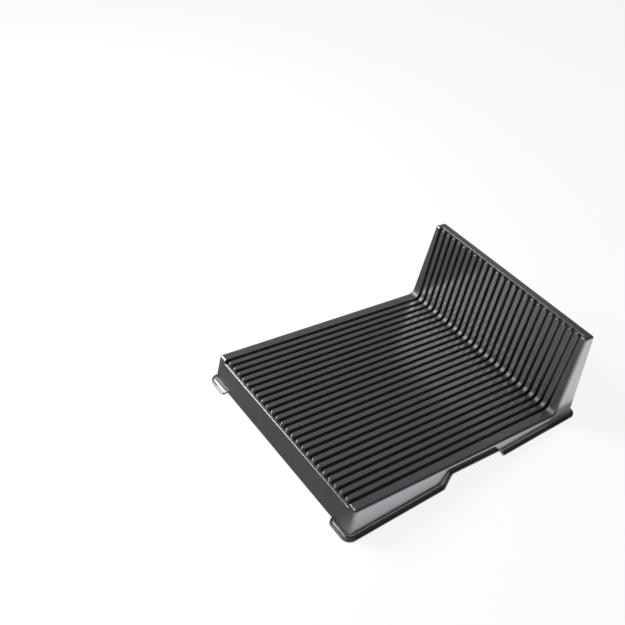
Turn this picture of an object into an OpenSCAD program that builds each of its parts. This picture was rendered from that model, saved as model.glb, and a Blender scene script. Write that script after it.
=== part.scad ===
// Slotted rack that stands a batch of circuit boards on edge, one board in each slot.
// A sloping slotted floor meets a slotted back wall square on, so each board is held
// along two of its edges. The rack is a thin-wall moulding, open underneath, on a rim.
// Frame: X across the slots, -Y the open front, +Z up, origin under the middle.

/* [Comb] */
// Number of slots
slot_count = 25; // [6:1:30]
// Distance from one slot to the next
slot_pitch = 10; // [8:0.5:16]
// Width of a slot between two ribs
slot_w = 3.8; // [2.5:0.1:3.9]
// Height of the ribs above the slot bottoms
rib_h = 5; // [4:0.5:8]
// Rounding along the top edges of each rib
rib_edge_r = 0.8; // [0.3:0.1:1]
// Radius of the fillet where a rib turns up the back wall
rib_fillet_r = 7; // [3:0.5:12]
// Wall left on each side of the core groove under a rib
rib_skin = 1.9; // [1.5:0.1:2.2]
// Width of the plain rail beside the outermost slots, at the base
rail_w = 13.7; // [10:0.5:20]

/* [Floor and wall] */
// Length of the floor from its front lip to the back wall
floor_len = 317; // [200:1:380]
// Slope of the floor, down towards the back wall
tilt = 5; // [3:0.5:7]
// Height of the rib tops at the low end of the floor
low_h = 14; // [13:0.5:24]
// Height of the back wall, square to the floor
wall_h = 116; // [60:1:180]
// Depth of the back wall at the ground
wall_foot_d = 34.3; // [28:0.5:60]
// Plain ledge between the rib ends and the front lip
ledge_w = 2.5; // [1:0.5:8]
// Distance of the rib ends below the top of the back wall
rib_drop = 0.8; // [0.5:0.1:4]

/* [Shell] */
// Thickness of the moulded wall
skin = 2.2; // [1.8:0.1:3]
// Draft of the side walls
side_draft = 3; // [1:0.5:4]
// Draft of the front wall
front_draft = 7; // [2:0.5:8]
// Draft of the rear wall
rear_draft = 3.6; // [2:0.2:5]
// Rounding along the edges of the deck
deck_r = 3; // [1.5:0.5:4]
// Rounding along the edges of the back wall
wall_r = 2.5; // [1.5:0.5:3]
// Rounding of the front lip
lip_r = 1.1; // [0.5:0.1:1.5]
// Radius of the upright corners at the ground
corner_r = 5.5; // [4:0.5:9]

/* [Base rim] */
// Reach of the rim beyond the walls
rim_w = 5.4; // [5:0.2:10]
// Thickness of the rim
rim_t = 2; // [1.5:0.1:2.5]
// Radius of the flare between a wall and the rim
flare_r = 3.4; // [2:0.1:3.8]
// Length of each front foot, measured from the side of the rim
foot_len = 35; // [20:1:80]
// Height of the front wall's lower edge between the feet
front_gap = 3.5; // [1:0.5:6]

/* [Hand notches] */
// Length of a hand notch along its top
notch_len = 76; // [40:1:120]
// Run of the slope at each end of a notch
notch_run = 9; // [6:1:20]
// Position of the notches behind the middle of the base
notch_y = 3.5; // [-30:0.5:30]
// Drop from the rib tops to the lower edge of the rim over a notch
notch_drop = 10.6; // [10:0.2:14]
// Reach of the rim over a notch
notch_rim_w = 4; // [3:0.2:5]
// Radius of the flare over a notch
notch_flare_r = 0.6; // [0.3:0.1:0.8]

/* [Hidden] */

black = [0.13, 0.13, 0.14];
far = 1000;
// Facets round the edges of the outer and inner forms, and steps in a quarter turn of the rim
outer_fn = 24;
inner_fn = 12;
flare_steps = 4;
corner_steps = 8;

// Comb
rib_w = slot_pitch - slot_w;
rail_x = (slot_count - 1) * slot_pitch / 2 + slot_w / 2;
half_w = rail_x + rail_w;
// The floor ribs run on under the wall ribs to the wall's slot bottoms
floor_rib_len = floor_len - ledge_w + rib_h;
wall_rib_len = wall_h - rib_drop;
// Core groove under a rib, and the solid length left where floor and wall meet
core_w = rib_w - 2 * rib_skin;
core_deep = rib_h - rib_skin;
core_end = 12;

// Side view of the outer faces, measured from the corner where floor meets wall.
// lip_y, lip_z: the front lip. front_y0, rear_y0: the front and rear walls at the ground.
lip_y = -floor_len * cos(tilt) - rib_h * sin(tilt);
lip_z = low_h + floor_len * sin(tilt) - rib_h * cos(tilt);
front_y0 = lip_y - lip_z * tan(front_draft);
rear_y0 = wall_foot_d;
// The corner's place along Y that puts the origin under the middle of the base
corner_y = -(front_y0 + rear_y0) / 2;
// Inner end of a front foot, and the planes that part the sides from the front and the rear
foot_x = half_w + rim_w - foot_len;
cheek_x = half_w - corner_r - rim_w;
skirt_cut = corner_y + front_y0 + corner_r + rim_w;

function side_x(z) = half_w - z * tan(side_draft);
function front_y(z) = corner_y + front_y0 + z * tan(front_draft);
function rear_y(z) = corner_y + rear_y0 - z * tan(rear_draft);
// Height, at a place along Y, of the plane that lies so far below the rib tops
function deck_z(y, drop) = low_h - (y - corner_y) * tan(tilt) - drop / cos(tilt);
// Place along Y, at a height, of the plane that lies so far behind the wall's face
function wall_y(z, depth) = corner_y + (z - low_h) * tan(tilt) + depth / cos(tilt);

// Where a plane below the rib tops meets a plane inside the front wall
function front_top_y(drop, inset) =
    (front_y0 + inset / cos(front_draft) + (low_h - drop / cos(tilt)) * tan(front_draft))
    / (1 + tan(tilt) * tan(front_draft)) + corner_y;
// Height of the plane that lies so far below the wall's top
function cap_z(y, drop) = deck_z(y, drop - wall_h);
// Where that plane meets a plane inside the rear wall
function cap_rear_y(drop, inset) =
    (rear_y0 - inset / cos(rear_draft) - (low_h + (wall_h - drop) / cos(tilt)) * tan(rear_draft))
    / (1 - tan(tilt) * tan(rear_draft)) + corner_y;
// Where it meets a plane behind the wall's face
function cap_front_y(drop, depth) = corner_y + (wall_h - drop) * sin(tilt) + depth * cos(tilt);

// Floor and wall are drawn level, with their corner at the origin, and tilted into place
module tilted() {
    translate([0, corner_y, low_h]) rotate([-tilt, 0, 0]) children();
}

module ball(x, y, z, r, fn) {
    for (side = [-1, 1]) translate([side * (x - r / cos(side_draft)), y, z]) sphere(r, $fn = fn);
}

module disc(x, y, r, fn) {
    for (side = [-1, 1]) translate([side * (x - r), y, 0]) cylinder(r = r, h = 0.1, $fn = fn);
}

// Drafted block under the floor: its top edges take a ball's radius, its corners a disc's.
// It ends halfway under the wall.
// inset is how far it lies inside the outer walls, drop how far its top is below the ribs.
module deck_block(inset, drop, top_r, base_r, fn) {
    y1 = front_top_y(drop + top_r, inset + top_r);
    y2 = rear_y(0) - wall_foot_d / 2;
    z1 = deck_z(y1, drop + top_r);
    z2 = deck_z(y2, drop + top_r);
    hull() {
        ball(side_x(z1) - inset, y1, z1, top_r, fn);
        ball(side_x(z2) - inset, y2, z2, top_r, fn);
        disc(side_x(0) - inset, front_y(0) + inset + base_r, base_r, fn);
        disc(side_x(0) - inset, rear_y(0) - inset - base_r, base_r, fn);
    }
}

// Drafted wedge behind the wall's face, with depth from that face to the block's own
module wall_block(inset, depth, drop, top_r, base_r, fn) {
    y1 = cap_front_y(drop + top_r, depth + top_r);
    y2 = cap_rear_y(drop + top_r, inset + top_r);
    z1 = cap_z(y1, drop + top_r);
    z2 = cap_z(y2, drop + top_r);
    hull() {
        ball(side_x(z1) - inset, y1, z1, top_r, fn);
        ball(side_x(z2) - inset, y2, z2, top_r, fn);
        disc(side_x(0) - inset, wall_y(0, depth + top_r), top_r, fn);
        disc(side_x(0) - inset, rear_y(0) - inset - base_r, base_r, fn);
    }
}

module outer_form() {
    deck_block(0, 0, deck_r, corner_r, outer_fn);
    wall_block(0, 0, 0, wall_r, corner_r, outer_fn);
}

// Hollow of the shell. It runs on into the floor, the wall and the cap, which close it.
module inner_form() {
    deck_block(skin, rib_h, skin / 2, corner_r - skin, inner_fn);
    wall_block(skin, rib_h, 0, skin / 2, corner_r - skin, inner_fn);
}

// Box between two corners in the tilted frame
module zone(a, b) {
    tilted() translate(a) cube(b - a);
}
// Everything beyond the slots on both sides, from the rails outwards
module rail_zone() {
    for (side = [-1, 1]) translate([side * (rail_x + far / 2), 0, 0]) cube([far, far, far], true);
}

// Half of a rib's section: x from 0 to half its width, y up from the slot bottom
module rib_half() {
    square([rib_w / 2 - rib_edge_r, rib_h]);
    square([rib_w / 2, rib_h - rib_edge_r]);
    translate([rib_w / 2 - rib_edge_r, rib_h - rib_edge_r]) circle(rib_edge_r, $fn = 32);
}

// Rib that stands on z = 0 and runs along +Y, with a round nose at the origin end
module rib_bar(len) {
    translate([0, rib_w / 2, 0]) {
        rotate([-90, 180, 0]) linear_extrude(len - rib_w / 2) {
            rib_half();
            mirror([1, 0]) rib_half();
        }
        rotate([0, 0, 180]) rotate_extrude(angle = 180, $fn = 48) rib_half();
    }
}

// Core groove that keeps a rib's wall thin, from below, with round ends
module rib_core(len) {
    translate([0, 0, -2 * skin]) {
        translate([-core_w / 2, core_w / 2, 0]) cube([core_w, len - core_w, 2 * skin + core_deep]);
        for (y = [core_w / 2, len - core_w / 2])
            translate([0, y, 0]) cylinder(d = core_w, h = 2 * skin + core_deep, $fn = 32);
    }
}

module at_ribs() {
    for (i = [1 : slot_count - 1]) translate([(i - slot_count / 2) * slot_pitch, 0, 0]) children();
}

module floor_cores() {
    tilted() translate([0, ledge_w - floor_len, -rib_h]) at_ribs()
        translate([0, rib_w, 0]) rib_core(floor_rib_len - rib_w - core_end);
}
module wall_cores() {
    tilted() translate([0, rib_h, wall_rib_len]) rotate([90, 0, 0]) mirror([0, 1, 0]) at_ribs()
        translate([0, rib_w, 0]) rib_core(wall_rib_len - rib_w - core_end);
}

module floor_panel() {
    // Side view of the panel: its front lip is round and runs out just past the front wall,
    // which cuts it off
    front = -floor_len - rim_w;
    lip = [0.95 * lip_r - floor_len, -rib_h - lip_r];
    side = concat([[rib_h, -rib_h], [rib_h, -rib_h - skin], [front, -rib_h - skin], [front, lip[1]]],
                  [for (a = [180 : -15 : 90]) lip + lip_r * [cos(a), sin(a)]]);
    color(black) difference() {
        intersection() {
            outer_form();
            tilted() rotate([90, 0, 90]) translate([0, 0, -far / 2]) linear_extrude(far)
                polygon(side);
        }
        floor_cores();
    }
}

module floor_ribs() {
    color(black) difference() {
        tilted() translate([0, ledge_w - floor_len, -rib_h]) at_ribs() rib_bar(floor_rib_len);
        floor_cores();
    }
}

module floor_rails() {
    color(black) intersection() {
        outer_form();
        rail_zone();
        zone([-far / 2, -far, -rib_h], [far / 2, rib_h, 0]);
    }
}

module wall_panel() {
    color(black) difference() {
        intersection() {
            outer_form();
            zone([-far / 2, rib_h, -rib_h - skin], [far / 2, rib_h + skin, wall_h - skin]);
            translate([-far / 2, -far / 2, rim_t + flare_r]) cube(far);
        }
        wall_cores();
    }
}

module wall_ribs() {
    color(black) difference() {
        intersection() {
            tilted() translate([0, rib_h, wall_rib_len]) rotate([90, 0, 0]) mirror([0, 1, 0])
                at_ribs() rib_bar(wall_rib_len);
            zone([-far / 2, -far, 0], [far / 2, far, wall_h]);
        }
        wall_cores();
    }
}

module wall_rails() {
    color(black) intersection() {
        outer_form();
        rail_zone();
        zone([-far / 2, -far, 0], [far / 2, rib_h, wall_h]);
    }
}

// Concave fillets that lead each rib and rail from the floor up the wall
module rib_fillets() {
    module web(w) {
        rotate([90, 0, 90]) translate([0, 0, -w / 2]) linear_extrude(w) difference() {
            translate([-rib_fillet_r, 0]) square(rib_fillet_r);
            translate([-rib_fillet_r, rib_fillet_r]) circle(rib_fillet_r, $fn = 64);
        }
    }
    rail_top = side_x(low_h) - deck_r - rail_x;
    color(black) tilted() {
        at_ribs() web(rib_w - 2 * rib_edge_r);
        for (side = [-1, 1]) translate([side * (rail_x + rail_top / 2), 0, 0]) web(rail_top);
    }
}

module wall_cap() {
    color(black) intersection() {
        outer_form();
        zone([-far / 2, rib_h, wall_h - skin], [far / 2, far, wall_h]);
    }
}

// The hollow part of the back wall, above the flare: its rear panel and its two cheeks
module wall_shell() {
    difference() {
        outer_form();
        inner_form();
        zone([-far / 2, -far, -far], [far / 2, rib_h + skin, far]);
        zone([-far / 2, -far, wall_h - skin], [far / 2, far, far]);
        translate([-far / 2, -far / 2, rim_t + flare_r - far]) cube(far);
    }
}

module rear_panel() {
    color(black) intersection() {
        wall_shell();
        cube([2 * cheek_x, far, far], true);
    }
}

module cheek(side) {
    color(black) intersection() {
        wall_shell();
        translate([side * (cheek_x + far / 2), 0, 0]) cube(far, true);
    }
}
module left_cheek() cheek(-1);
module right_cheek() cheek(1);

// The skirt is the shell below the floor panel. It ends at the flare of the rim.
module skirt_shell() {
    difference() {
        outer_form();
        inner_form();
        zone([-far / 2, -far, -rib_h - skin], [far / 2, far, far]);
        zone([-far / 2, rib_h + skin, -far], [far / 2, far, far]);
    }
}

module front_skirt() {
    color(black) difference() {
        skirt_shell();
        translate([-far / 2, skirt_cut, -far / 2]) cube(far);
        translate([-foot_x, -far / 2, front_gap - far]) cube([2 * foot_x, far, far]);
        for (side = [-1, 1]) translate([side * (foot_x + far / 2), 0, rim_t + flare_r - far / 2])
            cube(far, true);
    }
}

// Rim path along one side, from front to rear: [place, height, reach, flare]
function rim_path(y1, y2) = [
    [y1, 0, rim_w, flare_r],
    [notch_y - notch_len / 2 - notch_run, 0, rim_w, flare_r],
    [notch_y - notch_len / 2, notch_z(notch_y - notch_len / 2), notch_rim_w, notch_flare_r],
    [notch_y + notch_len / 2, notch_z(notch_y + notch_len / 2), notch_rim_w, notch_flare_r],
    [notch_y + notch_len / 2 + notch_run, 0, rim_w, flare_r],
    [y2, 0, rim_w, flare_r]];
function notch_z(y) = deck_z(y, notch_drop);

// Square to the path at point i, in the side view, and stretched so that layers stay even
function mitre(p, i) =
    let (a = i > 0 ? p[i] - p[i - 1] : p[i + 1] - p[i], b = i < len(p) - 1 ? p[i + 1] - p[i] : a,
         u = [-a[1], a[0]] / norm([a[0], a[1]]), v = [-b[1], b[0]] / norm([b[0], b[1]]))
    (u + v) / (1 + u * v);

// Section of the rim and its flare: [outwards from the wall, up from the lower edge]
function rim_section(reach, flare) =
    let (turn = 90 / flare_steps, edge = rim_t / 3)
    concat(
        [for (a = [0 : turn : 90]) flare * [1 - cos(a), 1 - sin(a)] + [0, rim_t]],
        [[reach - edge, rim_t], [reach, rim_t - edge], [reach, 0]],
        [for (a = [90 : -turn : 0]) [flare - (flare + rim_t) * cos(a),
                                     (flare + rim_t) * (1 - sin(a))]]);

// A station of the rim: a frame at the wall's foot, where out is the way it faces in plan,
// up the mitre in side view, and draft the lean of the wall above it
function station(x, y, z, out, up, draft, reach, flare) =
    [for (s = rim_section(reach, flare))
        let (h = z + s[1] * up[1], n = s[0] - h * tan(draft))
        [x + n * out[0], y + n * out[1] + s[1] * up[0], h]];

// Straight run along one side, which steps up over the hand notch
function side_run(y1, y2) = let (p = rim_path(y1, y2))
    [for (i = [0 : len(p) - 1]) let (up = mitre(p, i))
        station(half_w, p[i][0], p[i][1], [1, 0], up, side_draft, p[i][2], p[i][3])];

// Quarter turn round an upright corner, from facing along a to facing along a + 90
function corner_run(x, y, a, draft_a, draft_b) =
    [for (k = [0 : corner_steps]) let (part = k / corner_steps, t = a + 90 * part, out = [cos(t), sin(t)])
        station(x + corner_r * out[0], y + corner_r * out[1], 0, out, [0, 1],
                draft_a + (draft_b - draft_a) * part, rim_w, flare_r)];

// Closed solid through a row of stations
module sweep(rows) {
    n = len(rows[0]);
    last = (len(rows) - 1) * n;
    polyhedron([for (r = rows) each r], concat(
        [[for (j = [0 : n - 1]) j]],
        [for (i = [0 : len(rows) - 2], j = [0 : n - 1]) let (k = (j + 1) % n)
            each [[i * n + j, (i + 1) * n + j, (i + 1) * n + k], [i * n + j, (i + 1) * n + k, i * n + k]]],
        [[for (j = [n - 1 : -1 : 0]) last + j]]));
}

// The shell of one side below the floor panel, above the flare of the rim
module side_skirt(side) {
    p = rim_path(skirt_cut, rear_y(0) - corner_r);
    top = [for (i = [0 : len(p) - 1]) [p[i][0], p[i][1]] + mitre(p, i) * (rim_t + p[i][3])];
    color(black) intersection() {
        skirt_shell();
        translate([side * (cheek_x + far / 2), 0, 0]) cube(far, true);
        rotate([90, 0, 90]) translate([0, 0, -far / 2]) linear_extrude(far)
            polygon(concat(top, [[rear_y(0), far / 4], [skirt_cut, far / 4]]));
    }
}
module left_skirt() side_skirt(-1);
module right_skirt() side_skirt(1);

module side_rim() {
    color(black) sweep(side_run(skirt_cut, rear_y(0) - corner_r));
}
module right_rim() side_rim();
module left_rim() mirror([1, 0, 0]) side_rim();

// The rim goes on round the front corners as two feet
module front_feet() {
    rows = concat(
        [station(foot_x, front_y(0), 0, [0, -1], [0, 1], front_draft, rim_w, flare_r)],
        corner_run(half_w - corner_r, front_y(0) + corner_r, -90, front_draft, side_draft),
        [station(half_w, skirt_cut, 0, [1, 0], [0, 1], side_draft, rim_w, flare_r)]);
    color(black) {
        sweep(rows);
        mirror([1, 0, 0]) sweep(rows);
    }
}

module rear_rim() {
    right = corner_run(half_w - corner_r, rear_y(0) - corner_r, 0, side_draft, rear_draft);
    left = corner_run(corner_r - half_w, rear_y(0) - corner_r, 90, rear_draft, side_draft);
    color(black) sweep(concat(right, left));
}

floor_panel();
floor_ribs();
floor_rails();
wall_panel();
wall_ribs();
wall_rails();
rib_fillets();
wall_cap();
rear_panel();
left_cheek();
right_cheek();
front_skirt();
left_skirt();
right_skirt();
front_feet();
left_rim();
right_rim();
rear_rim();
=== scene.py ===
# %% [markdown]
# # A slotted rack for circuit boards
#
# This lesson dresses a rack that stands circuit boards on edge, one board in each slot.
# The real rack is one injection moulding of black, carbon-filled plastic: a slotted floor
# that slopes down to a slotted back wall, thin skirts that hold it up, and a flared rim
# that it stands on. The CAD model gives the frame, and everything here is drawn in that
# frame, in metres: X across the slots, -Y the open front, +Z up.

# %% Load the frame
import math

import bpy
import numpy as np
from mathutils import Matrix, Vector


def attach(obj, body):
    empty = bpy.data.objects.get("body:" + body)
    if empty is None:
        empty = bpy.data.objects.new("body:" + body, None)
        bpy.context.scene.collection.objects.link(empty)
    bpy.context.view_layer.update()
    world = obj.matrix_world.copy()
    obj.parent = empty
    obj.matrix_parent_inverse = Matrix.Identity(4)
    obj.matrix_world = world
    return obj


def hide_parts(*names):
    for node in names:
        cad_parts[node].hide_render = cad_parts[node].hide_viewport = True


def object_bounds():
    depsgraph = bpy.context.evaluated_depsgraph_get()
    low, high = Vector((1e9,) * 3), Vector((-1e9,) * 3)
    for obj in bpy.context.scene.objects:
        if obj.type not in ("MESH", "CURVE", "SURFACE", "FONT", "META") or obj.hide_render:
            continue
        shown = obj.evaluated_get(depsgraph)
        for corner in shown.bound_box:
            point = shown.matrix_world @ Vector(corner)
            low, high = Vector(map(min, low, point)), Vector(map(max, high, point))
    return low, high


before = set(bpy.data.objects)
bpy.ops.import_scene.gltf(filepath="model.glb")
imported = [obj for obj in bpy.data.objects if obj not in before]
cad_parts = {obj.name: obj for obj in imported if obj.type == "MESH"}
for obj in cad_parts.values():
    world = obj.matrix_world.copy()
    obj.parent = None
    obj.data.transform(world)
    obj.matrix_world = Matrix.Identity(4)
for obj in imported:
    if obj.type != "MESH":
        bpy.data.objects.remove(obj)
cad_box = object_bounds()
scene = bpy.context.scene
print("CAD box", [[round(v, 4) for v in corner] for corner in cad_box])

# %% [markdown]
# ## Sizes
#
# A moulding is drawn from a few sizes: the comb (pitch, slot, rib), the two planes that
# meet at the corner, the drafts that let the part leave its mould, and the rounding of
# each edge. They are millimetres here, as on a drawing, and become metres when a mesh is
# made. The front and rear ends are read from the CAD nodes' box; the other sizes are given here.

# %% Sizes of the moulding, in millimetres
MM = 0.001
low, high = (np.array(c) / MM for c in cad_box)

PITCH, SLOT, RIB_H = 10.0, 3.8, 5.0
RIBS = 24
RIB_R = (PITCH - SLOT) / 2               # half a rib's width, and the radius of its round nose
EDGE_R, FOOT_R = 0.8, 0.4                # rounding of a rib's top edge, fillet at its foot
RAIL_X = RIBS * PITCH / 2 + SLOT / 2     # inner side of the plain rail at each side
HALF_W = 135.6                           # side wall at the ground
SKIN, RIB_SKIN = 2.2, 1.9                # wall thickness, and the wall left round a rib's core

TILT = math.radians(5)
SIDE, FRONT, REAR = (math.radians(a) for a in (3, 7, 3.6))
FLOOR_LEN, WALL_H, LEDGE = 317.0, 115.98, 2.5
LOW_H, RIM_W, RIM_T, FLARE_R = 14.0, 5.4, 2.0, 3.4
EDGE_DEPTH = 7.0                         # how far the comb's own edge comes down the walls

FRONT_Y = low[1] + RIM_W                 # front and rear walls at the ground
REAR_Y = high[1] - RIM_W
CORNER_Y = REAR_Y - 34.3                 # where the floor's plane meets the back wall's
print("front, corner and rear at the ground:", FRONT_Y, CORNER_Y, REAR_Y)

# %% [markdown]
# ## Lines of the side view
#
# Seen from the side, every surface of the comb is one line that runs up the front, along
# the sloping floor, up the wall, over its cap and down the rear. The lines differ only in
# how deep they lie: the rib tops, the slot bottoms, the rails' rounding, the underside.
# So one function makes them all, with the same number of points, and a point anywhere in
# the thickness is a blend of two of them.

# %% Planes of the side view
def unit(angle):
    return np.array([math.cos(angle), math.sin(angle)])


ALONG, UP = unit(-TILT), unit(math.pi / 2 - TILT)      # along the floor, and up the wall
UP_FRONT = unit(math.pi / 2 - FRONT)
DOWN_REAR = unit(REAR - math.pi / 2)
CORNER = np.array([CORNER_Y, LOW_H])


def tilted(y, z):
    """Place in the side view: y along the floor from the corner, z square to the floor."""
    return CORNER + np.multiply.outer(y, ALONG) + np.multiply.outer(z, UP)


def meet(p, d, q, e):
    """Where the line through p along d crosses the line through q along e."""
    s = np.linalg.solve(np.array([d, -e]).T, q - p)
    return p + s[0] * d


def side_x(z):
    """Side wall's place at a height: the wall at the ground, less the height times the draft."""
    return HALF_W - z * math.tan(SIDE)


def front_plane(inset):
    return np.array([FRONT_Y + inset / math.cos(FRONT), 0]), UP_FRONT


def rear_plane(inset):
    return np.array([REAR_Y - inset / math.cos(REAR), 0]), DOWN_REAR


# %% Rows along the comb
NOSE = RIB_R + FOOT_R
# Distance of each row from the middle of a nose: round its foot, up its tip, over its edge
tip_rows = np.concatenate([RIB_R + FOOT_R * np.cos(np.radians([0, 30, 60])), [RIB_R + 1e-4, RIB_R],
                           RIB_R - EDGE_R * (1 - np.cos(np.radians([22, 45, 70, 90]))),
                           RIB_R * np.cos(np.radians([58, 70, 80])), [0]])
NOSE_Y = LEDGE - FLOOR_LEN + RIB_R       # middle of the floor ribs' noses
NOSE_Z = WALL_H - 0.8 - RIB_R            # middle of the wall ribs' noses
CORE_Y = [NOSE_Y + RIB_R, -8.0]          # ends of the core grooves
CORE_Z = [12.0, NOSE_Z - RIB_R]

floor_rows = np.concatenate([[NOSE_Y - NOSE - 0.7], NOSE_Y - tip_rows, [NOSE_Y + 0.6],
                             np.repeat(CORE_Y[0], 2), np.linspace(-280, -40, 7),
                             np.repeat(CORE_Y[1], 2)])
wall_rows = np.concatenate([[7.6], np.repeat(CORE_Z[0], 2), [40, 75], np.repeat(CORE_Z[1], 2),
                            [NOSE_Z - 0.6], NOSE_Z + tip_rows[::-1]])
cap_rows = np.array([5.9, 9.0, 12.5])
rear_rows = np.array([0.004, 0.25, 0.5, 0.75, 0.99, 1.0])
front_rows = np.array([0.0, 0.8])
TURNS = (5, 12, 4, 6)                    # steps round the lip, the corner, the cap's two edges
print("rows of the comb:", len(front_rows) + len(floor_rows) + len(wall_rows) + len(cap_rows)
      + len(rear_rows) + sum(TURNS) + 4)


# %% One line of the side view
def turn(v, d, e, radius, steps):
    """Arc that rounds the corner at v between direction d and direction e: it starts where
    it leaves the first line, and each point is that start plus r sin a along the line and
    r (1 - cos a) across it."""
    bend = math.acos(np.clip(d @ e, -1, 1))
    across = (e - (e @ d) * d) / np.linalg.norm(e - (e @ d) * d)
    a = np.linspace(0, bend, steps + 1)[:, None]
    return v - d * radius * math.tan(bend / 2) + radius * (np.sin(a) * d + (1 - np.cos(a)) * across)


def between(rows, start, end, origin, d):
    """Points at the given distances along a line, held between its two ends."""
    s = np.clip(rows, (start - origin) @ d, (end - origin) @ d)
    return origin + s[:, None] * d


def side_line(insets, radii, rear_end=None):
    """A line of the side view. insets: depths below front, floor, wall, cap and rear.
    radii: rounding at the lip, the corner, the cap's front edge and its rear edge."""
    front, floor, wall, cap, rear = insets
    fp, rp = front_plane(front)[0], rear_plane(rear)[0]
    floor_p, wall_p, cap_p = tilted(0, -floor), tilted(wall, 0), tilted(0, WALL_H - cap)
    base = meet(fp, UP_FRONT, tilted(0, -max(EDGE_DEPTH, floor)), ALONG)
    v = [meet(fp, UP_FRONT, floor_p, ALONG), meet(floor_p, ALONG, wall_p, UP),
         meet(wall_p, UP, cap_p, ALONG), meet(cap_p, ALONG, rp, DOWN_REAR)]
    arcs = [turn(p, d, e, r, n) for p, d, e, r, n in
            zip(v, (UP_FRONT, ALONG, UP, ALONG), (ALONG, UP, ALONG, DOWN_REAR), radii, TURNS)]
    ep = rear_plane(rear if rear_end is None else rear_end)[0]
    foot = meet(ep, DOWN_REAR, np.array([0, JOIN_Z]), np.array([1.0, 0]))
    return np.concatenate([
        base + front_rows[:, None] * (arcs[0][0] - base), arcs[0],
        between(floor_rows, arcs[0][-1], arcs[1][0], floor_p, ALONG), arcs[1],
        between(wall_rows, arcs[1][-1], arcs[2][0], wall_p, UP), arcs[2],
        between(cap_rows, arcs[2][-1], arcs[3][0], cap_p, ALONG), arcs[3],
        arcs[3][-1] + rear_rows[:, None] * (foot - arcs[3][-1])])


# The comb's edge and the skirt meet on the plane EDGE_DEPTH under the rib tops, and behind
# the wall's foot at the height where that plane ends
JOIN_Z = tilted(EDGE_DEPTH, -EDGE_DEPTH)[1]
rib_line = side_line((0, 0, 0, 0, 0), (0.01, 7, 0.01, 2.5))
rail_line = side_line((0, 0, 0, 0, 0), (3, 7, 2.5, 2.5))
slot_line = side_line((0, 5, 5, 0, 0), (1.1, 1.5, 0.35, 2.5))
core_line = side_line((3, 3, 2.5, 2.5, 2.5), (0, 9.7, 0, 0), rear_end=5.5)
edge_line = side_line((EDGE_DEPTH,) * 5, (0, 0, 0, 0))
under_line = side_line((SKIN, RIB_H + SKIN, RIB_H + SKIN, SKIN, SKIN), (0, 1, 0.5, 0.5))
print("points in each line:", [len(l) for l in (rib_line, rail_line, slot_line, core_line,
                                                 edge_line, under_line)])

# %% [markdown]
# ## Making a mesh from whole arrays
#
# A surface here is a grid of points, rows by columns, so its faces are just neighbouring
# indices. Where a grid closes up, as at a rib's nose, several points fall on one place.
# Welding gives those places one vertex each, and faces that lost their area are dropped.
# Then the sign of the enclosed volume says whether the faces point outwards.

# %% Grid helpers
def grid_faces(rows, cols, wrap_rows=False, wrap_cols=False):
    """Quads between neighbours in a grid of rows x cols points, closed on itself or not."""
    r = np.arange(rows if wrap_rows else rows - 1)[:, None]
    c = np.arange(cols if wrap_cols else cols - 1)[None, :]
    at = lambda i, j: ((i % rows) * cols + j % cols).ravel()
    return np.stack([at(r, c), at(r, c + 1), at(r + 1, c + 1), at(r + 1, c)], 1)


def join_grids(parts):
    """Stacks (points, quads) pairs into one, with each pair's indices moved on."""
    moved, count = [], 0
    for points, quads in parts:
        moved.append(quads + count)
        count += len(points)
    return np.concatenate([p for p, _ in parts]), np.concatenate(moved)


def weld(points, quads, step=0.002):
    """One vertex for each place, rounded to a step, and triangles where a quad lost a side."""
    keys = np.round(points / step).astype(np.int64)
    _, first, index = np.unique(keys, axis=0, return_index=True, return_inverse=True)
    q = index.ravel()[quads]
    same = q == np.roll(q, -1, 1)
    crossed = (q[:, 0] == q[:, 2]) | (q[:, 1] == q[:, 3])
    whole = q[~same.any(1) & ~crossed]
    thin = q[(same.sum(1) == 1) & ~crossed]
    k = same[(same.sum(1) == 1) & ~crossed].argmax(1)[:, None]
    tris = np.take_along_axis(thin, (k + np.array([[1, 2, 3]])) % 4, 1)
    return points[first], whole, tris


def volume(points, whole, tris):
    """Six times the enclosed volume, as the sum of each triangle's box product."""
    t = np.concatenate([whole[:, :3], whole[:, [0, 2, 3]], tris])
    a, b, c = (points[t[:, i]] for i in range(3))
    return float(np.einsum("ij,ij->i", a, np.cross(b, c)).sum())


def make_piece(name, parts, replaced):
    """A smooth mesh object from welded grids, in metres, with its faces turned outwards."""
    points, whole, tris = weld(*join_grids(parts))
    if volume(points, whole, tris) < 0:
        whole, tris = whole[:, ::-1], tris[:, ::-1]
    mesh = bpy.data.meshes.new(name)
    mesh.from_pydata((points * MM).tolist(), [], whole.tolist() + tris.tolist())
    mesh.polygons.foreach_set("use_smooth", np.ones(len(mesh.polygons), bool))
    mesh.set_sharp_from_angle(angle=math.radians(38))
    mesh.validate()
    piece = bpy.data.objects.new(name, mesh)
    scene.collection.objects.link(piece)
    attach(piece, "root")
    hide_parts(*replaced)
    print(name, len(mesh.vertices), "vertices", len(whole) * 2 + len(tris), "triangles")
    return piece


# %% [markdown]
# ## The comb
#
# The comb is the part that does the work: 24 ribs with a slot on each side, which run
# down the floor, round a fillet and up the wall. Each rib ends in a round nose at both
# ends, so that a board finds its slot. A rib is drawn by its inset: how far a point lies
# inside the rib's outline in plan. The inset gives the height (foot fillet, upright side,
# rounded edge, flat top), and round a nose the same insets follow circles, so the rounding
# runs on round the nose as it does on a moulded part. The surface is one sheet from rail
# to rail, because separate bars would show a join at every foot.

# %% Section of a rib by its inset
def quarter(steps):
    return np.linspace(0, math.pi / 2, steps + 1)


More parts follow.
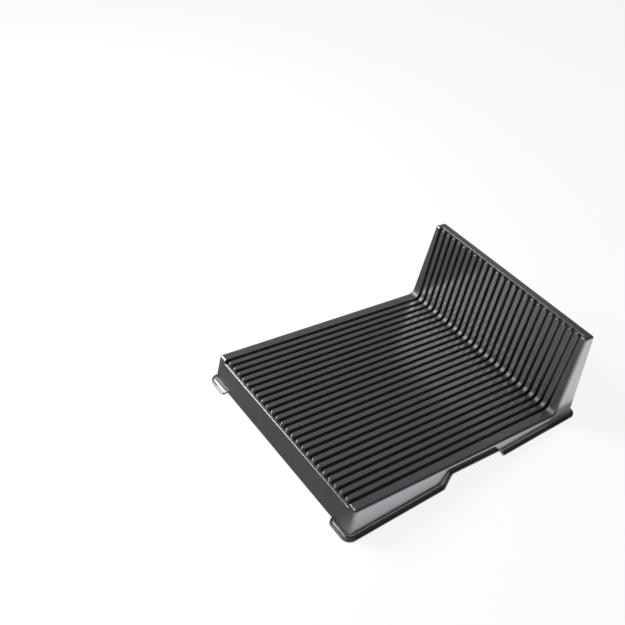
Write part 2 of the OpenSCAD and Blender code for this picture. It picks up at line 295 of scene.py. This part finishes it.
foot, over = quarter(3), quarter(4)
inset = np.concatenate([FOOT_R * (np.sin(foot) - 1), [0], EDGE_R * (1 - np.cos(over)), [EDGE_R + 0.3]])
rise = np.concatenate([FOOT_R * (1 - np.cos(foot)), [RIB_H - EDGE_R - 0.3],
                       RIB_H - EDGE_R + EDGE_R * np.sin(over), [RIB_H]])


def rib_height(d):
    """Height of a rib at an inset d: nothing outside, the foot's arc, then the edge's arc."""
    foot_arc = FOOT_R - np.sqrt(np.clip(FOOT_R**2 - np.clip(d + FOOT_R, 0, FOOT_R) ** 2, 0, None))
    edge_arc = RIB_H - EDGE_R + np.sqrt(np.clip(EDGE_R**2 - np.clip(EDGE_R - d, 0, EDGE_R) ** 2, 0, None))
    return np.where(d < 0, foot_arc, edge_arc)


# Distance of each row from the middle of the nearer nose, 0 between them and far outside
def nose_distance():
    lip = len(front_rows) + TURNS[0] + 1
    corner = TURNS[1] + 1
    tail = TURNS[2] + 1 + len(cap_rows) + TURNS[3] + 1 + len(rear_rows)
    return np.concatenate([np.full(lip, 99.0), np.clip(NOSE_Y - floor_rows, 0, None), np.zeros(corner),
                           np.clip(wall_rows - NOSE_Z, 0, None), np.full(tail, 99.0)])


away = nose_distance()
tip = np.isclose(away, RIB_R + 1e-4, atol=1e-6)     # the row at the foot of a nose's tip
away = np.where(tip, RIB_R, away)

# %% One rib's columns, from its left foot to its right foot
reach = RIB_R - inset[None, :]
met = (reach >= away[:, None] - 1e-9) & ~tip[:, None]
half = np.where(met, np.sqrt(np.clip(reach**2 - away[:, None] ** 2, 0, None)), 0)
ridge = np.where(tip, FOOT_R, rib_height(np.clip(RIB_R - away, -FOOT_R, None)))[:, None]
ridge = np.where(np.isclose(away[:, None], RIB_R) & ~tip[:, None], RIB_H - EDGE_R, ridge)
lift = np.where(met, rise[None, :], np.minimum(ridge, rise.max()))
rib_x = np.concatenate([-half, np.zeros_like(ridge), half[:, ::-1]], 1)
rib_t = np.concatenate([lift, ridge, lift[:, ::-1]], 1)
rib_at = (np.arange(RIBS) - (RIBS - 1) / 2) * PITCH
comb_x = (rib_at[None, :, None] + rib_x[:, None, :]).reshape(len(away), -1)
comb_t = np.tile(rib_t, (1, RIBS))
print("columns across the ribs:", comb_x.shape[1])

# %% [markdown]
# The rails beside the outermost slots are plain and wide. Their inner side is a rib's
# side. Their outer edge is rounded over into the side wall, which leans in with its
# draft, so its place in X comes from each point's own height. At the rear the same
# columns turn the upright corner, whose radius grows towards the ground.

# %% Blends between the lines
def blend(a, b, share):
    """Point for point, a plus the share of the way from a to b."""
    return a[:, None, :] + (b - a)[:, None, :] * np.asarray(share)[..., None]


def rows_of(values):
    """A value for each row, from one value for the start and end of each stretch."""
    spans = [len(front_rows) + TURNS[0] + 1 + len(floor_rows), TURNS[1] + 1,
             len(wall_rows) + TURNS[2] + 1 + len(cap_rows) + TURNS[3] + 1]
    return np.concatenate([np.full(spans[0], values[0]), np.linspace(values[0], values[1], spans[1]),
                           np.full(spans[2], values[1]), values[1] + rear_rows * (values[2] - values[1])])


edge_r = rows_of((3.0, 2.5, 5.5))

# %% Columns of the right rail
inner_x = np.concatenate([RAIL_X - FOOT_R * (1 - np.sin(foot)), [RAIL_X],
                          RAIL_X + EDGE_R * (1 - np.cos(over)), [RAIL_X + EDGE_R + 0.3]])
inner_yz = blend(slot_line, rail_line, np.tile(rise / RIB_H, (len(away), 1)))
inner_x = np.tile(inner_x, (len(away), 1))

bend = quarter(6)[::-1]
top_yz = np.repeat(rail_line[:, None], 1, 1)
arc_yz = blend(core_line, rail_line, np.tile(np.sin(bend), (len(away), 1)))
down_yz = blend(core_line, edge_line, np.tile([0.12, 0.5, 1.0], (len(away), 1)))
outer_yz = np.concatenate([top_yz, arc_yz, down_yz], 1)
outer_in = np.concatenate([edge_r[:, None] + 0.4, edge_r[:, None] * (1 - np.cos(bend)),
                           np.zeros((len(away), 3))], 1)
outer_x = side_x(outer_yz[..., 1]) - outer_in
rail_x, rail_yz = np.concatenate([inner_x, outer_x], 1), np.concatenate([inner_yz, outer_yz], 1)

# %% Underside, with the core groove that keeps each rib's wall thin
row_y, row_z = np.full(len(away), np.nan), np.full(len(away), np.nan)
start = len(front_rows) + TURNS[0] + 1
row_y[start:start + len(floor_rows)] = floor_rows
start += len(floor_rows) + TURNS[1] + 1
row_z[start:start + len(wall_rows)] = wall_rows


def in_core(rows, ends):
    """True from the second of the two rows at the start to the first of the two at the end."""
    lo, hi = np.flatnonzero(rows == ends[0]), np.flatnonzero(rows == ends[1])
    index = np.arange(len(rows))
    return (index >= lo[1]) & (index <= hi[0])


cored = in_core(row_y, CORE_Y) | in_core(row_z, CORE_Z)
groove = np.where(cored, (RIB_H - RIB_SKIN + SKIN) / (RIB_H + SKIN), 0)[:, None]
core_half = RIB_R - RIB_SKIN
under_x = (rib_at[::-1, None] + core_half * np.array([1, 1, -1, -1])[None, :]).ravel()
under_x = np.tile(under_x, (len(away), 1))
under_share = np.tile(np.concatenate([0 * groove, groove, groove, 0 * groove], 1), (1, RIBS))
under_yz = blend(under_line, rib_line, under_share)
under_rim_yz = np.stack([edge_line, under_line], 1)
under_rim_x = side_x(under_rim_yz[..., 1]) - SKIN

# %% The closed comb
ring_x = np.concatenate([-rail_x[:, ::-1], comb_x, rail_x,
                         under_rim_x, under_x, -under_rim_x[:, ::-1]], 1)
ring_yz = np.concatenate([rail_yz[:, ::-1], blend(slot_line, rib_line, comb_t / RIB_H), rail_yz,
                          under_rim_yz, under_yz, under_rim_yz[:, ::-1]], 1)
ring = np.concatenate([ring_x[..., None], ring_yz], 2)
ends = np.repeat(ring[[0, -1]].mean(1, keepdims=True), ring.shape[1], 1)
ring = np.concatenate([ends[:1], ring, ends[1:]])       # each open end closes in its middle
comb_grid = (ring.reshape(-1, 3), grid_faces(*ring.shape[:2], wrap_cols=True))
comb = make_piece("comb", [comb_grid],
                  ["floor_panel", "floor_ribs", "floor_rails", "wall_panel", "wall_ribs",
                   "wall_rails", "rib_fillets", "wall_cap", "rear_panel"])

# %% [markdown]
# ## The back wall's sides
#
# Behind the comb, the back wall is hollow and open underneath. Each side is a flat plate
# that leans in with the draft. The comb's rounded edges already come 7 mm round onto it,
# so what is left is a plain four-cornered plate with a thickness.

# %% Side plates of the back wall
def plate(x_sign):
    """A flat grid between four corners of the side view, once outside and once a skin inside."""
    near, far = tilted(EDGE_DEPTH, WALL_H - EDGE_DEPTH), edge_line[-len(rear_rows)]
    feet = tilted(EDGE_DEPTH, -EDGE_DEPTH), edge_line[-1]
    u, v = np.linspace(0, 1, 7)[:, None, None], np.linspace(0, 1, 13)[None, :, None]
    yz = (1 - v) * ((1 - u) * feet[0] + u * feet[1]) + v * ((1 - u) * near + u * far)
    outer = np.concatenate([side_x(yz[..., 1:]), yz], 2)
    inner = outer - [SKIN, 0, 0]
    ring = np.concatenate([outer, inner[:, ::-1]], 1)
    ends = [np.stack([outer[i], inner[i]]).reshape(-1, 3) for i in (0, -1)]
    side = [(ring.reshape(-1, 3), grid_faces(*ring.shape[:2], wrap_cols=True)),
            (ends[0], grid_faces(2, 13)[:, ::-1]), (ends[1], grid_faces(2, 13))]
    return [(p * [x_sign, 1, 1], q[:, ::x_sign]) for p, q in side]


# %% [markdown]
# ## The skirt and its rim
#
# Below the comb, a thin skirt runs all the way round and flares out into the rim that the
# rack stands on. The rim steps up over a hand notch at each side, and at the front it is
# left only at the corners, as two feet. All of it is one section, carried round the
# outline as a closed loop: the wall's outer face, the flare, the rim, and back up inside.
# The section's reach, its flare and the height of its lower edge change along the way.

# %% Section of the skirt, from above the flare round the rim to the inner face
NOTCH_Y, NOTCH_LEN, NOTCH_RUN, NOTCH_DROP = 3.5, 76.0, 9.0, 10.6
NOTCH_REACH, NOTCH_FLARE, FOOT_LEN, GAP_Z = 4.0, 0.6, 35.0, 3.5
RIM_EDGE = 0.7
GROUND_R, TOP_R = 5.5, 3.0               # front corners' radius at the ground and at the comb
LOW_R = 0.3                              # rounding of the rim's lower edge
BEND = 2.6                               # length of leg that each bend of the notch takes up
flare_a, edge_a, low_a = quarter(6), quarter(3), quarter(2)


def section(reach, flare):
    """Outward distances and heights of the section for each reach and flare. The flare is a
    quarter circle that leaves the wall upright and lands flat on the rim; the inner face
    follows it one rim's thickness away."""
    r, f = np.broadcast_arrays(np.asarray(reach, float)[..., None],
                               np.asarray(flare, float)[..., None])
    n = [f * 0, f * (1 - np.cos(flare_a)), np.maximum(f + 0.2, 0) * (r > 1),
         np.maximum(r - RIM_EDGE - 0.2, 0),
         np.maximum(r - RIM_EDGE + RIM_EDGE * np.sin(edge_a), 0),
         r - LOW_R + LOW_R * np.cos(low_a), np.minimum(f + 0.2, r - 0.6),
         np.minimum(f - (f + RIM_T) * np.cos(flare_a[::-1]), r - 0.6)]
    s = [f + RIM_T + 0.4, RIM_T + f * (1 - np.sin(flare_a)), f * 0 + RIM_T, f * 0 + RIM_T,
         f * 0 + RIM_T - RIM_EDGE + RIM_EDGE * np.cos(edge_a),
         f * 0 + LOW_R - LOW_R * np.sin(low_a), f * 0,
         (f + RIM_T) * (1 - np.sin(flare_a[::-1]))]
    n = [np.broadcast_to(a, f.shape[:-1] + (max(a.shape[-1], b.shape[-1]),)) for a, b in zip(n, s)]
    s = [np.broadcast_to(b, a.shape) for a, b in zip(n, s)]
    return np.concatenate(n, -1), np.concatenate(s, -1)


def front_y(z):
    return FRONT_Y + z * math.tan(FRONT)


def rear_y(z):
    return REAR_Y - z * math.tan(REAR)


def corner_r(z):
    """Radius of a front corner: widest at the ground, the comb's own at the top."""
    return GROUND_R - (GROUND_R - TOP_R) * np.clip(z / ring[0, :, 2].max(), 0, 1)


def top_z(y):
    """Where the skirt meets the comb: the comb's lower edge, then level behind the wall."""
    start_y, start_z = tilted(0, -EDGE_DEPTH)
    return np.maximum(start_z - (y - start_y) * math.tan(TILT), JOIN_Z)


def with_tops(outline, n, z):
    """Adds the first and last row: the outer and inner face where they meet the comb."""
    y = outline(np.zeros(z.shape[:-1]), top_z(outline(0 * z[..., 0], z[..., 0])[1]))[1]
    top = top_z(y)
    rows_n = np.concatenate([0 * top[..., None], n, -SKIN + 0 * top[..., None]], -1)
    rows_z = np.concatenate([top[..., None], z, top[..., None]], -1)
    x, y = outline(rows_n, rows_z)
    return np.stack(np.broadcast_arrays(x, y, rows_z), -1)


# %% Stretches of the loop, for the right half: front, corner, side, corner, rear
def spread(values, z):
    """One value for each station of the loop, shaped to go with the heights z."""
    return values.reshape((-1,) + (1,) * (np.ndim(z) - 1))


def front_run():
    """Along the front: a foot's reach, flare and drop grow on a quarter ellipse from its
    inner end. The last station is where the corner begins, so its X comes from the height."""
    inner_end, over_a = HALF_W + RIM_W - FOOT_LEN, np.linspace(0, math.pi / 2, 9)
    grow = np.concatenate([[0, 0, 0], np.sin(over_a), [1, 1]])
    x = np.concatenate([[0, 50, inner_end - 1], inner_end + 5 * (1 - np.cos(over_a)),
                        [inner_end + 6.5, 0]])
    last = np.arange(len(x)) == len(x) - 1
    n, s = section(RIM_W * grow, FLARE_R * grow)
    z = s + (GAP_Z * (1 - grow))[:, None]

    def place(n, z):
        return np.where(spread(last, z), side_x(z) - corner_r(z), spread(x, z)), front_y(z) - n

    return with_tops(place, n, z)


def corner_run(a0, centre_y, radius):
    """Round an upright corner: the outline's circle, widened by the outward distance."""
    a = np.linspace(a0, a0 + math.pi / 2, 11)
    n, z = section(np.full(len(a), RIM_W), np.full(len(a), FLARE_R))

    def place(n, z):
        out = radius(z) + n
        return (side_x(z) - radius(z) + out * spread(np.cos(a), z),
                centre_y(z) + out * spread(np.sin(a), z))

    return with_tops(place, n, z)


def side_run():
    """Along the side. Each row of the section is a bent line over the notch, mitred at its
    corners and then rounded there by a quadratic curve between points near the corner."""
    ends = NOTCH_Y - NOTCH_LEN / 2, NOTCH_Y + NOTCH_LEN / 2
    raised = [tilted(0, 0)[1] - (y - CORNER_Y) * math.tan(TILT) - NOTCH_DROP / math.cos(TILT)
              for y in ends]
    path = np.array([[FRONT_Y + GROUND_R, 0], [ends[0] - NOTCH_RUN, 0], [ends[0], raised[0]],
                     [ends[1], raised[1]], [ends[1] + NOTCH_RUN, 0], [REAR_Y - GROUND_R, 0]])
    along = np.diff(path, axis=0)
    normal = np.stack([-along[:, 1], along[:, 0]], 1) / np.linalg.norm(along, axis=1)[:, None]
    before, after = np.concatenate([normal[:1], normal]), np.concatenate([normal, normal[-1:]])
    mitre = (before + after) / (1 + (before * after).sum(1))[:, None]
    n, s = section([RIM_W, RIM_W, NOTCH_REACH, NOTCH_REACH, RIM_W, RIM_W],
                   [FLARE_R, FLARE_R, NOTCH_FLARE, NOTCH_FLARE, FLARE_R, FLARE_R])
    v = np.concatenate([path[:, None] + mitre[:, None] * s[..., None], n[..., None]], 2)
    u = np.linspace(0, 1, 7)[:, None, None]
    out = [v[:1]]
    for k in range(1, 5):
        legs = [(v[k] - v[k - 1]), (v[k + 1] - v[k])]
        size = [np.linalg.norm(leg, axis=1, keepdims=True) for leg in legs]
        a = v[k] - legs[0] * np.minimum(BEND / size[0], 0.45)
        b = v[k] + legs[1] * np.minimum(BEND / size[1], 0.45)
        out += [a[None] - legs[0] * 0.02,
                (1 - u) ** 2 * a + 2 * u * (1 - u) * v[k] + u**2 * b,
                b[None] + legs[1] * 0.02]
    rows = np.concatenate(out + [v[-1:]])
    y, z, n = rows[..., 0], rows[..., 1], rows[..., 2]
    y = y.copy()
    y[0], y[-1] = front_y(z[0]) + corner_r(z[0]), rear_y(z[-1]) - GROUND_R
    top = top_z(y[:, 0])
    y_top = y[:, 0].copy()
    y_top[0], y_top[-1] = front_y(top[0]) + corner_r(top[0]), rear_y(top[-1]) - GROUND_R
    top = top_z(y_top)
    y, z = (np.concatenate([a[:, None], b, a[:, None]], 1) for a, b in ((y_top, y), (top, z)))
    n = np.concatenate([0 * top[:, None], n, -SKIN + 0 * top[:, None]], 1)
    return np.stack([side_x(z) + n, y, z], -1)


# %% Skirt loop
front_corner = corner_run(-math.pi / 2, lambda z: front_y(z) + corner_r(z), corner_r)
rear_corner = corner_run(0, lambda z: rear_y(z) - GROUND_R, lambda z: GROUND_R + 0 * z)
half_loop = np.concatenate([front_run(), front_corner, side_run(), rear_corner])
n, z = section(np.array([RIM_W]), np.array([FLARE_R]))
rear_middle = with_tops(lambda n, z: (0 * z, rear_y(z) + n), n, z)
half_loop = np.concatenate([half_loop, rear_middle])
loop = np.concatenate([half_loop, half_loop[::-1] * [-1, 1, 1]])
skirt_grid = (loop.reshape(-1, 3), grid_faces(*loop.shape[:2], wrap_rows=True, wrap_cols=True))
skirt = make_piece("skirt", [skirt_grid], ["front_skirt", "left_skirt", "right_skirt", "front_feet",
                                           "left_rim", "right_rim", "rear_rim"])
sides = [make_piece(name, plate(x_sign), [node]) for name, x_sign, node in
         (("wall_side_left", -1, "left_cheek"), ("wall_side_right", 1, "right_cheek"))]

# %% [markdown]
# ## The finish
#
# Conductive plastic is black because of the carbon in it. Its skin copies a spark-eroded
# mould, so it is satin, with a fine grain that breaks up reflections, and it is never
# quite even: flow marks change its gloss, and handling polishes it. The shader is written
# as sums of noises at those scales. Maths on values is written as Python expressions.
# One term is there for the picture only: the fillets in the inner corner mirror the key
# lamp as a row of hard dots, so a strip there is made more matt. A real one need not be.

# %% A socket that can be added and multiplied
class Value:
    """Wraps a socket, or holds a number, so that arithmetic on it adds Math nodes."""

    def __init__(self, tree, socket):
        self.tree, self.socket = tree, socket

    def math(self, operation, a, b=0.0):
        return self.tree.add("ShaderNodeMath", {"operation": operation}, {0: a, 1: b}).out(0)

    def __add__(self, other):
        return self.math("ADD", self, other)

    def __sub__(self, other):
        return self.math("SUBTRACT", self, other)

    def __mul__(self, other):
        return self.math("MULTIPLY", self, other)

    def __rsub__(self, other):
        return self.math("SUBTRACT", other, self)

    __radd__, __rmul__ = __add__, __mul__


class Node:
    def __init__(self, tree, node):
        self.tree, self.node = tree, node

    def out(self, key):
        return Value(self.tree, self.node.outputs[key])


class Tree:
    """A material's or the world's nodes, cleared, with one way to add another."""

    def __init__(self, owner):
        owner.use_nodes = True
        self.nodes, self.links = owner.node_tree.nodes, owner.node_tree.links
        self.nodes.clear()

    def add(self, kind, settings=None, inputs=None):
        node = self.nodes.new(kind)
        for key, value in (settings or {}).items():
            if key == "stops":
                for stop, (place, colour) in zip(node.color_ramp.elements, value):
                    stop.position, stop.color = place, colour
            else:
                setattr(node, key, value)
        for key, value in (inputs or {}).items():
            if isinstance(value, Value):
                self.links.new(value.socket, node.inputs[key])
            else:
                node.inputs[key].default_value = value
        return Node(self, node)

    def noise(self, place, scale, detail=2.0, rough=0.5):
        return self.add("ShaderNodeTexNoise", inputs={"Vector": place, "Scale": scale, "Detail": detail,
                                                      "Roughness": rough}).out("Fac")


# %% Black conductive plastic
def black_plastic():
    material = bpy.data.materials.new("black_conductive_plastic")
    tree = Tree(material)
    place = tree.add("ShaderNodeTexCoord").out("Object")
    grain = tree.noise(place, 1500.0, 2.0)
    stipple = tree.noise(place, 420.0, 3.0, 0.6)
    flow = tree.noise(place, 16.0, 4.0, 0.55)
    patches = tree.noise(place, 60.0, 3.0)
    colour = tree.add("ShaderNodeMix", {"data_type": "RGBA"}, {
        "Factor": flow * 0.6 + patches * 0.4,
        6: (0.009, 0.010, 0.011, 1), 7: (0.018, 0.020, 0.022, 1)})
    height = grain * 0.35 + stipple * 0.65
    bump = tree.add("ShaderNodeBump", inputs={"Strength": 0.10, "Distance": 0.00010,
                                              "Height": height})
    split = tree.add("ShaderNodeSeparateXYZ", inputs={0: place})
    rear = tree.add("ShaderNodeMapRange", inputs={"Value": split.out("Y"), "From Min": 0.130,
                                                  "From Max": 0.140})
    low = tree.add("ShaderNodeMapRange", inputs={"Value": split.out("Z"), "From Min": 0.030,
                                                 "From Max": 0.020})
    matt = rear.out(0) * low.out(0)
    shader = tree.add("ShaderNodeBsdfPrincipled", inputs={
        "Base Color": colour.out(2),
        "Roughness": 0.38 + (flow - 0.5) * 0.14 + (patches - 0.5) * 0.14 + matt * 0.22,
        "IOR": 1.9, "Coat Weight": 1.0 - matt * 0.85, "Coat Roughness": 0.14,
        "Normal": bump.out("Normal")})
    tree.add("ShaderNodeOutputMaterial", inputs={"Surface": shader.out("BSDF")})
    return material


plastic = black_plastic()
for piece in [comb, skirt, *sides]:
    piece.data.materials.clear()
    piece.data.materials.append(plastic)
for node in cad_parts.values():
    node.data.materials.clear()
    node.data.materials.append(plastic)

# %% [markdown]
# ## Floor, light and camera
#
# Black satin plastic is seen by what it reflects, more than by its colour. A soft lamp at
# the left front is the key: the rounded lip, the noses and the fillets at the foot of the
# wall all turn towards it somewhere, and show it as bright lines. A wide, weak lamp at the
# left rear lies where the rib tops mirror it, and a low one lights the ribs of the wall.
# The background is white to the camera only. To reflections the floor is brighter at the
# right than it looks, and dim elsewhere, as beside a window: that greys the right flank.

# %% Pale floor
floor_mesh = bpy.data.meshes.new("floor")
floor_mesh.from_pydata([(-6, -6, 0), (6, -6, 0), (6, 6, 0), (-6, 6, 0)], [], [(0, 1, 2, 3)])
floor = bpy.data.objects.new("floor", floor_mesh)
scene.collection.objects.link(floor)
floor_material = bpy.data.materials.new("pale_floor")
tree = Tree(floor_material)
rays = tree.add("ShaderNodeLightPath")
place = tree.add("ShaderNodeTexCoord").out("Object")
across = tree.add("ShaderNodeSeparateXYZ", inputs={0: place}).out("X")
window_side = tree.add("ShaderNodeMapRange", {"interpolation_type": "SMOOTHSTEP"},
                       {"Value": across, "From Min": 0.10, "From Max": 0.17,
                        "To Min": 0.25, "To Max": 1.8})
paper = tree.add("ShaderNodeBsdfDiffuse", inputs={"Color": (0.86, 0.86, 0.87, 1)})
bright = tree.add("ShaderNodeEmission", inputs={"Color": (1, 1, 1, 1), "Strength": 1.0})
glow = tree.add("ShaderNodeEmission", inputs={"Color": (0.96, 0.95, 1.0, 1),
                                              "Strength": window_side.out(0)})
shown_floor = tree.add("ShaderNodeMixShader", inputs={
    0: rays.out("Is Camera Ray") * 0.88, 1: paper.out(0), 2: bright.out(0)})
mirrored = tree.add("ShaderNodeMixShader", inputs={
    0: rays.out("Is Glossy Ray"), 1: shown_floor.out(0), 2: glow.out(0)})
tree.add("ShaderNodeOutputMaterial", inputs={"Surface": mirrored.out(0)})
floor_mesh.materials.append(floor_material)

# %% White surroundings
world = bpy.data.worlds.new("studio")
scene.world = world
tree = Tree(world)
rays = tree.add("ShaderNodeLightPath")
soft = tree.add("ShaderNodeBackground", inputs={"Color": (0.93, 0.96, 1.0, 1), "Strength": 0.16})
white = tree.add("ShaderNodeBackground", inputs={"Color": (1, 1, 1, 1), "Strength": 1.0})
seen = tree.add("ShaderNodeMixShader", inputs={
    0: rays.out("Is Camera Ray"), 1: soft.out(0), 2: white.out(0)})
tree.add("ShaderNodeOutputWorld", inputs={"Surface": seen.out(0)})


# %% Lamps
def lamp(name, place, aim, size, power):
    """A square area lamp that faces its aim."""
    data = bpy.data.lights.new(name, "AREA")
    data.shape, data.size, data.energy = "SQUARE", size, power
    light = bpy.data.objects.new(name, data)
    light.location = place
    light.rotation_euler = (Vector(aim) - Vector(place)).to_track_quat("-Z", "Y").to_euler()
    light.visible_camera = False
    scene.collection.objects.link(light)


lamp("key_left_front", (-0.78, -0.60, 0.90), (0, 0, 0.03), 0.7, 25)
lamp("sheen_left_rear", (-1.0, 1.05, 1.0), (0, 0, 0), 1.3, 1.2)
lamp("wall_fill", (-0.60, -0.42, 0.30), (0.02, 0.17, 0.07), 0.7, 5)

# %% Camera
EYE = (0.4889, -0.5750, 0.7446)
RIGHT, DOWN = (0.5814, 0.8068, 0.1051), (0.5721, -0.3135, -0.7579)
AHEAD = (-0.5785, 0.5008, -0.6439)
camera_data = bpy.data.cameras.new("camera")
camera_data.sensor_width, camera_data.lens = 36.0, 48.73
camera = bpy.data.objects.new("camera", camera_data)
camera.matrix_world = Matrix([[RIGHT[i], -DOWN[i], -AHEAD[i], EYE[i]] for i in range(3)]
                             + [[0, 0, 0, 1]])
scene.collection.objects.link(camera)
scene.camera = camera
scene.view_settings.view_transform = "Standard"
